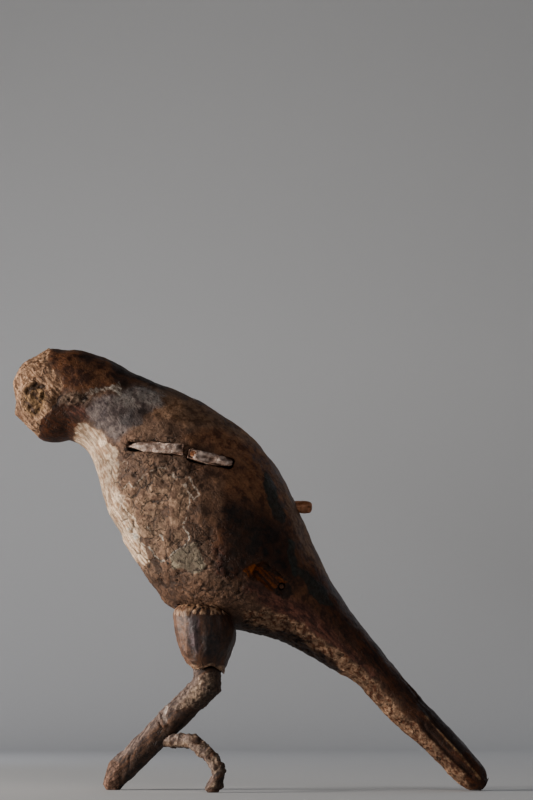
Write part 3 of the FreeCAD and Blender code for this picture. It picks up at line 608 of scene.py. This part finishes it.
# %% Marks and lines for the material
streak_white = lines(wander, [[(-76, -40, 195), (-70, -41, 190), (-63, -42, 184)],
                              [(-114, -32, 289), (-113.5, -32, 288)],
                              [(-152, -20, 281), (-150, -20, 277)]])
smooth_breast = 1 - 0.7 * soft_step(flanks(outlines["cream"][0]), -3, 3)
beside_crust = 1 - soft_step(under_tail, -1, 2)
brittle = 0.25 + 0.5 * crumbly + 0.6 * on_face + 0.75 * soft_step(under_tail, -2, 3) + 0.5 * cord
nail_hole = lines(skin, [[(-61, -38, 169), (-60.8, -38, 168.8)], [(-41, -32, 88), (-41, -32, 87.5)]])
for name, mask in {
    "bare": bare, "bite": bite, "deep": deep, "loss": loss, "green": green, "scar": scar, "crust": under_tail,
    "cord": (cord - 0.4) * 4,
    "dip": (-0.1 - chipped * 0.8 - 0.3 * knobs) - 3 * beside_crust,
    "crack": 0.5 - np.minimum(long_cracks, scratches + 0.2),
    "hole": 1.1 - nail_hole,
    "net": (0.75 - net) * crumbly - 0.5 * (1 - crumbly),
    "rimmed": 0.4 + 0.6 * soft_step(208 - skin[:, 2], -8, 8),
    "white": 0.9 - streak_white,
    "hollow": -fine_relief * 2.6,
    "tip": 0.9 - lines(skin, feather_lines),
    "groove": 1.5 - lines(skin, furrow_lines + edge_lines),
    "wrinkled": brittle * smooth_breast,
}.items():
    keep(body, name, np.clip(mask, -DEEPEST, DEEPEST))
print("masks on the body:", len(body.data.attributes))

# %% [markdown]
# ## Aged oil paint on a chalk ground
#
# Chalk ground is matt and scatters light, dirty tan where hands and smoke reached it and near white where
# it is freshly broken. Old oil paint over it keeps a low sheen. The eye reads the age from the contrast
# between the two, so the roughness follows the coats.


# %% The body's material
def body_material():
    """Every coat of the body, the white broken rim of the losses, and darker hollows and cracks."""
    kit = start_material("aged oil paint on chalk ground", grain=(1, 1, 0.16), lean=42)
    tree = kit["tree"]
    ground = add(tree, "ValToRGB", None, {"Fac": kit["broad"]},
                 ((0.4, "#6a5143"), (0.6, "#89705f"))).outputs[0]
    dirt = add(tree, "ValToRGB", None, {"Fac": kit["fine"]},
               ((0.36, "#594336"), (0.58, "#8a7262"))).outputs[0]
    colour = add(tree, "Mix", {"data_type": "RGBA"}, {0: 0.4, 6: ground, 7: dirt}).outputs[2]
    colour = lay_coats(kit, colour, [
        ("loss", "#755c4d", "#a38a76", "middle", 0.3, 0.5, 0.8),
        ("green", "#85796a", "#9c927f", "fine", 0.6, 0.8, 0.9),
        ("umber", "#462b20", "#75503b", "middle", 2.2, 5.0, 0.92),
        ("warm", "#5e3a29", "#906850", "middle", 2.5, 6.0, 0.85),
        ("back_tan", "#785a46", "#9d7e68", "middle", 2.5, 4.0, 0.9),
        ("polish", "#1f110b", "#48291a", "streak", 1.8, 6.0, 0.9),
        ("strip", "#6d5444", "#8f7563", "streak", 1.2, 2.0, 0.8),
        ("cord", "#5f4b3f", "#8d7868", "fine", 0.5, 1.0, 0.9),
        ("violet", "#341f1e", "#69453c", "streak", 2.2, 4.0, 0.85),
        ("slate", "#544b4b", "#857b76", "middle", 2.6, 3.0, 0.9),
        ("haze", "#776c67", "#a39b94", "middle", 2.6, 3.0, 0.8),
        ("grime", "#0d0704", "#301b11", "middle", 2.0, 8.0, 0.98),
        # black patches of soot, and painted shade along the nape
        ("soot_and_nape_shade", "#1c1513", "#382722", "middle", 1.4, 1.6, 0.9),
        ("blue", "#242224", "#443f3f", "middle", 2.2, 2.0, 0.8),
        ("cream", "#b2947c", "#e2ccb4", "streak", 1.4, 1.0, 0.97),
        ("dull", "#4b372c", "#705646", "middle", 2.5, 4.0, 0.8),
        ("crust", "#643f2f", "#d2ae92", "fine", 1.8, 2.2, 0.92),
        # painted shadow along the tail's lower edge
        ("shade", "#100a08", "#33231c", "fine", 2.0, 2.5, 0.92),
        ("black_green", "#121613", "#272f2b", "fine", 0.8, 0.8, 0.95),
        ("scar", "#3d1e10", "#8c5132", "streak", 0.6, 0.5, 1.0),
        ("scar_dark", "#0f0907", "#20130d", "fine", 0.5, 0.8, 0.95),
        ("bare", "#795b47", "#c4a288", "streak", 0.8, 0.6, 1.0),
        ("bite", "#432f22", "#a08262", "streak", 0.8, 2.5, 0.85),
        ("deep", "#2c1f17", "#4f3a28", "fine", 0.6, 1.0, 1.0),
        ("fringe", "#6f5d50", "#e0d5c6", "streak", 2.6, 0.8, 0.8),
        ("white", "#c8beb0", "#e0d8ca", "fine", 0.6, 0.4, 0.8),
        ("groove", "#0f0a08", "#2a1b14", "fine", 1.0, 0.8, 0.85),
        ("tip", "#8a6a50", "#b59678", "fine", 0.4, 0.5, 0.9),
    ])
    stored = add(tree, "Attribute", {"attribute_name": "loss"}).outputs["Fac"]
    nibbled = add(tree, "Math", {"operation": "MULTIPLY_ADD"}, {0: kit["fine"], 1: 2.4, 2: -1.2}).outputs[0]
    rim = add(tree, "Math", {"operation": "ADD"}, {0: stored, 1: nibbled}).outputs[0]
    off = add(tree, "Math", {"operation": "ABSOLUTE"}, {0: rim}).outputs[0]
    line = add(tree, "MapRange", None, {"Value": off, "From Min": 0.3, "From Max": 0.85,
                                        "To Min": 1.0, "To Max": 0.0}).outputs[0]
    patchy = add(tree, "MapRange", None,
                 {"Value": kit["middle"], "From Min": 0.45, "From Max": 0.52}).outputs[0]
    rimmed = add(tree, "Attribute", {"attribute_name": "rimmed"}).outputs["Fac"]
    rim_here = add(tree, "Math", {"operation": "MULTIPLY"}, {0: patchy, 1: rimmed}).outputs[0]
    white = add(tree, "Math", {"operation": "MULTIPLY"}, {0: line, 1: rim_here}).outputs[0]
    colour = add(tree, "Mix", {"data_type": "RGBA"}, {0: white, 6: colour, 7: paint("#d8cec0")}).outputs[2]
    # Darker in the low spots of the relief, between the crust's knobs, along the cracks and in the nail
    # holes.
    dark_marks = [("hollow", "#3a2a22", 0.1, 0.9, 0.45), ("dip", "#2b1a14", 0.6, 0.6, 0.55),
                  ("net", "#2b1f18", 0.4, 0.4, 0.75), ("crack", "#1e1612", 0.5, 0.35, 0.9),
                  ("hole", "#0c0908", 0.2, 0.3, 1.0)]
    for mask, tone, ragged, soft, strength in dark_marks:
        colour = lay(kit, colour, paint(tone), mask, ragged, soft, strength, "fine")
    shine = add(tree, "RGBToBW", None, {"Color": colour}).outputs[0]
    level = add(tree, "MapRange", None, {"Value": shine, "From Min": 0.02, "From Max": 0.2,
                                         "To Min": 0.5, "To Max": 0.88}).outputs[0]
    wrinkled = add(tree, "Attribute", {"attribute_name": "wrinkled"}).outputs["Fac"]
    return finish_material(kit, colour, level, grit_mm=0.8, streak_mm=0.25, gloss=0.18, creases=wrinkled)


settle(body, "carved_body", body_material())

# %% [markdown]
# ## The thighs
#
# Each thigh is a block cut to a drumstick with long downward strokes of the knife, so its facets are tall
# and narrow. Its top is end grain that was chopped to fit the belly, and its bottom rim has broken away.


# %% Sculpt the thighs
def thigh_piece(side, name):
    """A drumstick with knife strokes, a chopped top, a broken rim and its stains."""
    piece = clay(f"{side}_thigh", name, voxel_mm=0.75)
    p = points_of(piece)
    near, _ = cells(p * np.array([1, 1, 0.22]), 9.5, seed=4 if side == "left" else 8)
    strokes = -np.maximum(0, 1.1 * (1 - (near / 5.6) ** 2))
    small, middle = rough(p, 2.2, 5), rough(p, 6, 6)
    notches = soft_step(rough(p, 2.8, 7, (1, 1, 12)), 0.0, 0.25)
    chopped = soft_step(p[:, 2] + 2 * middle, 128, 132)
    broken = 1 - soft_step(p[:, 2] - 2.5 * middle, 90, 95)
    own = np.array([1, 1 if side == "right" else -1, 1])
    drift = p * own + 1.6 * middle[:, None]
    smudge = [(-37, 114), (-27, 116), (-20, 112), (-23, 100), (-35, 99), (-33, 106)]
    keep(piece, "smudge", patch(drift, smudge, 1))
    keep(piece, "stripe", patch(drift, [(-46, 128), (-37, 129), (-37, 102), (-44, 103)], 1))
    front = [(-62, 140), (-47, 138), (-46, 126), (-47, 104), (-43, 94), (-34, 90), (-20, 86), (-60, 84)]
    keep(piece, "pale", patch(drift, front))
    keep(piece, "ends", chopped * 4 - notches * 4 - 2.3)
    keep(piece, "rim", 4 * broken - 1.5)
    height = strokes - chopped * 0.7 * notches + broken * (0.9 * small - 0.5) + 0.2 * small + 0.35 * middle
    raise_skin(piece, height)
    p = points_of(piece)
    along, up = [-46, -42, -38, -33, -28, -23, -20, -12], [94, 90.5, 90, 91.5, 93, 90, 87, 88]
    rim = np.interp(p[:, 0], along, up)
    p[:, 2] = np.maximum(p[:, 2], rim + 1.2 * rough(p * np.array([1, 1, 0]), 2.5, 27))
    place_points(piece, p)
    return piece


def thigh_material():
    """Knife-cut softwood under thin oil paint: warm, with a low sheen, and darker where hands held it."""
    kit = start_material("thin oil paint on knife-cut softwood", grain=(1, 1, 0.12))
    tree = kit["tree"]
    wood = add(tree, "ValToRGB", None, {"Fac": kit["streak"]},
               ((0.41, "#2c1b13"), (0.59, "#4a3022"))).outputs[0]
    tone = add(tree, "ValToRGB", None, {"Fac": kit["broad"]},
               ((0.38, "#251710"), (0.62, "#4c3222"))).outputs[0]
    colour = add(tree, "Mix", {"data_type": "RGBA"}, {0: 0.5, 6: wood, 7: tone}).outputs[2]
    colour = lay_coats(kit, colour, [
        ("pale", "#5a4032", "#7f604e", "middle", 1.8, 2.5, 0.8),
        ("stripe", "#2b2021", "#4d3e40", "streak", 1.2, 2.0, 0.85),
        ("smudge", "#1c1413", "#30221d", "fine", 1.2, 1.5, 0.9),
        ("ends", "#60432f", "#ab8c73", "streak", 0.6, 0.5, 0.85),
        ("rim", "#6d5140", "#a58870", "fine", 0.6, 1.0, 0.8),
    ])
    return finish_material(kit, colour, 0.55, grit_mm=0.25, streak_mm=0.22, gloss=0.4, creases=0.12)


knife_cut = thigh_material()
for side in ("left", "right"):
    settle(thigh_piece(side, f"{side}_drumstick"), f"{side}_thigh", knife_cut)

# %% [markdown]
# ## The leg and the toes
#
# A bird's scaly shank was imitated with lumps of thick ground, dabbed on wet. The lumps are gone from the
# lower part, where smooth painted wood shows. The toe's end is broken off in a few flat faces.


# %% Sculpt the leg
def shank_crust(p):
    """The shank is crusted from below the knee down to the spur."""
    return soft_step(p[:, 2], 58, 64) * (1 - 0.75 * soft_step(p[:, 2] - 0.25 * p[:, 0], 92, 97))


def shank_marks(p):
    """The spur of raised ground across the front, with a hollow beside it."""
    spur = from_line(p, [(-61, -17, 65), (-67, -14, 57), (-64, -18, 49)])
    flake = from_line(p, [(-56, -19, 66), (-59, -19, 61), (-55, -22, 60)])
    beside = from_line(p, [(-58, -21, 59), (-65, -18, 50)])
    return 2.3 * fade(spur, 1.6) + 1.1 * fade(flake, 1.6) - 0.8 * fade(beside, 2.2)


def toe_marks(p):
    """Flat broken faces at the end of the front toe, and a notch under it."""
    near_end = soft_step(-p[:, 0], 93, 99)
    notch = from_line(p, [(-97, -6, 15), (-92, -4, 9), (-92, 8, 6)])
    return near_end * (knife(p, 14, 1.8, 9) + 0.3 * rough(p, 2.0, 2, (1, 1, 3))) - 1.3 * fade(notch, 1.8)


def hind_marks(p):
    """A ringed knob at the root, and a step at each bend."""
    root = from_line(p, [(-57, -19, 38), (-56.8, -19, 38)])
    return 0.9 * fade(root - 4.2, 0.9) + 1.1 * rough(p, 6, 14) + 0.5 * rough(p, 3, 13) + knife(p, 8, 1.1, 12)


def leg_piece(node, name, crusted, marks):
    """A limb with dabs of ground where crusted is high, and its own marks."""
    piece = clay(node, name, voxel_mm=0.7)
    p, n = points_of(piece), normals_of(piece)
    dabs, _ = cells(p, 3.2, 3)
    small, middle = rough(p, 1.7, 11), rough(p, 6.5, 12)
    amount = soft_step(crusted(p) + middle * 0.35, 0.3, 0.7)
    lumpy = 1 - np.abs(rough(p, 2.6, 18)) * 2.4
    own = marks(p)
    crust = 0.35 - 0.2 * dabs + 0.3 * lumpy + 0.35 * small
    height = amount * crust + own + 0.14 * small + 0.4 * middle
    height = height + knife(p * np.array([0.6, 1, 0.6]), 9, 0.9, 6) * (1 - amount)
    keep(piece, "dabs", amount * 4 - 2)
    keep(piece, "spur", 1.5 - from_line(p, [(-62, -17, 62), (-65, -18, 56), (-63, -20, 50)]))
    # Painted light: a lighter grey-brown on the faces turned up and towards the window.
    keep(piece, "painted_lit_side", (0.6 * n[:, 2] - n[:, 0]) * 4 - 2.6 + middle)
    keep(piece, "hollow", -crust * 1.3 - own * 0.5 - 0.8 * (1 - amount))
    # Painted shade: a darker brown on the faces turned down and away from the window.
    keep(piece, "under", (n[:, 0] * 0.8 - n[:, 2] * 0.6) * 4 - 0.6 + middle)
    keep(piece, "cut", 2 * soft_step(-p[:, 0], 98, 101) * soft_step(28 - p[:, 2], 4, 8) - 1 + 0.6 * middle)
    raise_skin(piece, height * soft_step(p[:, 2], 0.0, 1.4))
    return piece


def finish_the_toe(piece):
    """Push the top end two millimetres into the shank, to close the gap, and chop the tip in flat faces."""
    up_the_leg = np.array([0.65, -0.32, 0.69])
    p, n = points_of(piece), normals_of(piece)
    end = soft_step(n @ up_the_leg, 0.3, 0.7) * soft_step(p @ up_the_leg, -22, -16)
    p = p + 2.0 * end[:, None] * up_the_leg
    chops = [((-110, 4, 10), (-0.96, -0.1, 0.25)), ((-105, -1, 6), (-0.5, -0.8, -0.33)),
             ((-103, 0, 23), (-0.72, -0.45, 0.52)), ((-98, -2.4, 10), (0.15, -0.95, -0.25))]
    for place, facing in chops:
        facing = np.array(facing) / np.linalg.norm(facing)
        p = p - np.maximum(0, (p - np.array(place)) @ facing)[:, None] * facing * (p[:, :1] < -90)
    place_points(piece, p)


def leg_material():
    """Chalk ground and thin oil paint on a whittled limb: cream on the lumps, brown in between."""
    kit = start_material("dabbed chalk ground on softwood", grain=(1, 1, 0.2), lean=-44)
    whittled = add(kit["tree"], "ValToRGB", None, {"Fac": kit["streak"]},
                   ((0.41, "#33221a"), (0.59, "#5a4132")))
    colour = lay_coats(kit, whittled.outputs[0], [
        ("dabs", "#5e4a3e", "#9a8573", "fine", 1.0, 1.0, 0.92),
        # painted light on the faces towards the window
        ("painted_lit_side", "#52433e", "#87756c", "streak", 0.8, 1.2, 0.85),
        # painted shade on the faces turned away from the window
        ("under", "#1e140f", "#3b2a21", "middle", 0.8, 1.6, 0.85),
        ("hollow", "#2c2019", "#4b3b30", "fine", 0.4, 0.5, 0.45),
        ("cut", "#4a3428", "#86695a", "streak", 0.3, 0.5, 0.9),
        ("spur", "#8d7a70", "#cdbcb1", "fine", 0.6, 0.6, 0.95),
    ])
    return finish_material(kit, colour, 0.72, grit_mm=0.55, streak_mm=0.2, gloss=0.35, creases=0.4)


dabbed = leg_material()
for node, name, crusted, marks in (
    ("left_tarsus", "shank", shank_crust, shank_marks),
    ("left_front_toe", "front_toe", lambda p: np.full(len(p), 0.1), toe_marks),
    ("left_hind_toe", "hind_toe", lambda p: np.full(len(p), 0.55), hind_marks),
):
    limb = leg_piece(node, name, crusted, marks)
    if name == "front_toe":
        finish_the_toe(limb)
    settle(limb, node, dabbed)

# %% [markdown]
# ## The broken wing roots
#
# Each wing was two thin planks in mortises. They snapped along the grain just outside the flank, so what is
# left is a strip of split, dusty wood with a ragged edge.


# %% Sculpt the wing roots
def wing_root(node, name):
    """A stump of plank: its outer face is split in strips, and it thins and narrows towards its ends."""
    piece = clay(node, name, voxel_mm=0.5)
    p, n = points_of(piece), normals_of(piece)
    small, middle = rough(p, 1.8, 15, (2.4, 1, 1)), rough(p, 5, 16, (1.6, 1, 1))
    strips = rough(p, 2.0, 17, (7, 1, 1)) + 0.5 * np.floor(rough(p, 6, 18, (1.6, 1, 0.7)) * 4) / 2
    outer = soft_step(np.abs(n[:, 1]), 0.4, 0.85)
    slope, level = np.polyfit(p[:, 0], p[:, 2], 1)
    crowned = 1 - ((p[:, 2] - slope * p[:, 0] - level) / 4.2) ** 2
    ends = np.minimum(p[:, 0] - p[:, 0].min(), p[:, 0].max() - p[:, 0])
    height = outer * (1.9 * crowned + 1.2 * middle + 1.0 * strips - 0.8) + 0.8 * middle + 0.4 * small
    fore = p[:, 0] - p[:, 0].min() if "front" in node else p[:, 0].max() - p[:, 0]
    height = height - 1.6 * (1 - soft_step(ends, 0.5, 7)) * outer
    height = height - 3.0 * (1 - soft_step(fore, 0, 16)) * (1 - outer)
    keep(piece, "dust", 0.8 + middle * 2 + small - 2 * (1 - outer))
    keep(piece, "hollow", -0.3 - height * 0.9)
    raise_skin(piece, height)
    p = points_of(piece)
    middle_line = slope * p[:, 0] + level
    narrow = 0.4 + 0.6 * soft_step(fore, 0, 17) if "front" in node else 0.7 + 0.3 * soft_step(ends, 0, 9)
    p[:, 2] = middle_line + (p[:, 2] - middle_line) * narrow
    place_points(piece, p)
    return piece


def split_wood_material():
    """Dry split softwood with dust and scraps of ground on it: pale, matt, streaked along the grain."""
    kit = start_material("split weathered softwood", grain=(0.16, 1, 1), lean=8)
    streaked = add(kit["tree"], "ValToRGB", None, {"Fac": kit["streak"]},
                   ((0.41, "#75594b"), (0.59, "#9c7f6e")))
    colour = lay_coats(kit, streaked.outputs[0], [
        ("dust", "#907a6f", "#c6b3a7", "fine", 1.4, 1.0, 0.9),
        ("hollow", "#36251d", "#5d4437", "fine", 0.5, 0.5, 0.85),
    ])
    return finish_material(kit, colour, 0.8, grit_mm=0.25, streak_mm=0.25, gloss=0.25)


split_wood = split_wood_material()
for side in ("left", "right"):
    for part in ("front", "rear"):
        node = f"{side}_wing_root_{part}"
        settle(wing_root(node, f"{side}_{part}_wing_stump"), node, split_wood)

# %% [markdown]
# ## Pegs, dowels, eyes and nails
#
# The back peg is whittled, so it has flat sides and a rounded end. The others are small, and most of each
# is hidden in its hole, so the CAD shape stays and gets a proper material.


# %% Whittle the back peg
def peg_material():
    """Bare softwood darkened by handling: warm brown with a soft sheen and grain along the peg."""
    kit = start_material("handled bare softwood", grain=(0.15, 1, 1))
    grain = add(kit["tree"], "ValToRGB", None, {"Fac": kit["streak"]}, ((0.41, "#87573d"), (0.59, "#b58468")))
    return finish_material(kit, grain.outputs[0], 0.55, grit_mm=0.12, streak_mm=0.12, gloss=0.4)


def iron_material():
    """Rusted wrought iron: nearly black, with brown bloom, no shine."""
    kit = start_material("rusted wrought iron")
    rust = add(kit["tree"], "ValToRGB", None, {"Fac": kit["middle"]}, ((0.41, "#1d1613"), (0.59, "#43291b")))
    return finish_material(kit, rust.outputs[0], 0.75, grit_mm=0.2, gloss=0.3)


def eye_material():
    """A painted wooden bead: dark brown paint worn through to pale ground, with a dull sheen."""
    kit = start_material("worn paint on a turned bead")
    worn = add(kit["tree"], "ValToRGB", None, {"Fac": kit["fine"]}, ((0.45, "#3b2c26"), (0.6, "#9d8a78")))
    return finish_material(kit, worn.outputs[0], 0.5, grit_mm=0.08, gloss=0.4)


handled = peg_material()
peg = clay("back_peg", "whittled_peg", voxel_mm=0.45)
at = points_of(peg)
raise_skin(peg, knife(at, 7, 0.35, 3) + 0.1 * rough(at, 2.5, 1, (3, 1, 1)))
settle(peg, "back_peg", handled)

# %% Materials for the pieces that keep their CAD shape
finishes = {"bare_peg": handled, "iron": iron_material(), "eye_wood": eye_material()}
slots = {entry["node"]: entry["material_slot"] for entry in frame["record"]["subparts"]}
for node, piece in frame["nodes"].items():
    if slots.get(node) in finishes and node != "back_peg":
        piece.data.materials.clear()
        piece.data.materials.append(finishes[slots[node]])
        print(node, "keeps its CAD shape")

# %% [markdown]
# ## The studio
#
# A pale sweep stands under and behind the bird. A low window in front of the breast rakes over the relief,
# which a light from above or from the camera would flatten. A weak fill lights the flank, a cool wash falls
# on the backdrop, and one more weak lamp keeps the far side readable.


# %% Floor, light and camera
def pale_sweep():
    """A floor that curves up into a backdrop: a line pulled out sideways."""
    bm = bmesh.new()
    front, bend, radius, top, width = -2.2, 1.6, 0.8, 4.0, 8.0
    turns = np.radians(range(10, 91, 10))
    profile = [(front, 0.0), (bend, 0.0)]
    profile += [(bend + radius * math.sin(a), radius - radius * math.cos(a)) for a in turns]
    profile.append((bend + radius, top))
    row = [bm.verts.new((-width / 2, y, z)) for y, z in profile]
    edges = [bm.edges.new(pair) for pair in zip(row, row[1:])]
    pulled = bmesh.ops.extrude_edge_only(bm, edges=edges)["geom"]
    far_row = [v for v in pulled if isinstance(v, bmesh.types.BMVert)]
    bmesh.ops.translate(bm, vec=(width, 0, 0), verts=far_row)
    bmesh.ops.recalc_face_normals(bm, faces=bm.faces)
    mesh = bpy.data.meshes.new("pale_sweep")
    bm.to_mesh(mesh)
    bm.free()
    for face in mesh.polygons:
        face.use_smooth = True
    sweep = bpy.data.objects.new("pale_sweep", mesh)
    bpy.context.scene.collection.objects.link(sweep)
    material = bpy.data.materials.new("matt pale paper")
    material.use_nodes = True
    shader = material.node_tree.nodes["Principled BSDF"]
    shader.inputs["Base Color"].default_value = paint("#c9cacb")
    shader.inputs["Roughness"].default_value = 0.9
    mesh.materials.append(material)


def soft_light(name, place, size, power, colour, aim=(0, 0, 0.17)):
    """A square light that faces the middle of the bird, or another place."""
    lamp = bpy.data.lights.new(name, "AREA")
    lamp.shape, lamp.size, lamp.energy = "SQUARE", size, power
    lamp.color = paint(colour)[:3]
    holder = bpy.data.objects.new(name, lamp)
    holder.location = place
    holder.rotation_euler = (Vector(aim) - Vector(place)).to_track_quat("-Z", "Y").to_euler()
    bpy.context.scene.collection.objects.link(holder)


pale_sweep()
soft_light("window", (-1.72, -0.36, 0.34), 0.65, 56, "#fff8f0")
soft_light("fill", (0.6, -1.7, 1.3), 1.4, 7, "#f4f1f2")
soft_light("wash", (-0.9, 1.0, 0.2), 1.0, 3.5, "#e8eeff", (0.2, 2.4, 0.1))
soft_light("far_side", (1.1, 1.3, 1.0), 1.3, 3.5, "#f0f3fb")
world = bpy.data.worlds.new("room")
world.use_nodes = True
sky = world.node_tree.nodes["Background"]
sky.inputs["Color"].default_value = paint("#c4ccd6")
sky.inputs["Strength"].default_value = 0.10
bpy.context.scene.world = world

camera_data = bpy.data.cameras.new("view")
camera_data.lens = 85
camera = bpy.data.objects.new("view", camera_data)
turn, lift = math.radians(0.6), math.radians(9.44)
away, height, sideways = 1.457, 0.057, 0.0127
camera.location = (sideways + away * math.sin(turn), -away * math.cos(turn), height)
camera.rotation_euler = (math.radians(90) + lift, 0, turn)
bpy.context.scene.collection.objects.link(camera)
bpy.context.scene.camera = camera
print("the camera stands", away, "m from the bird's left side")
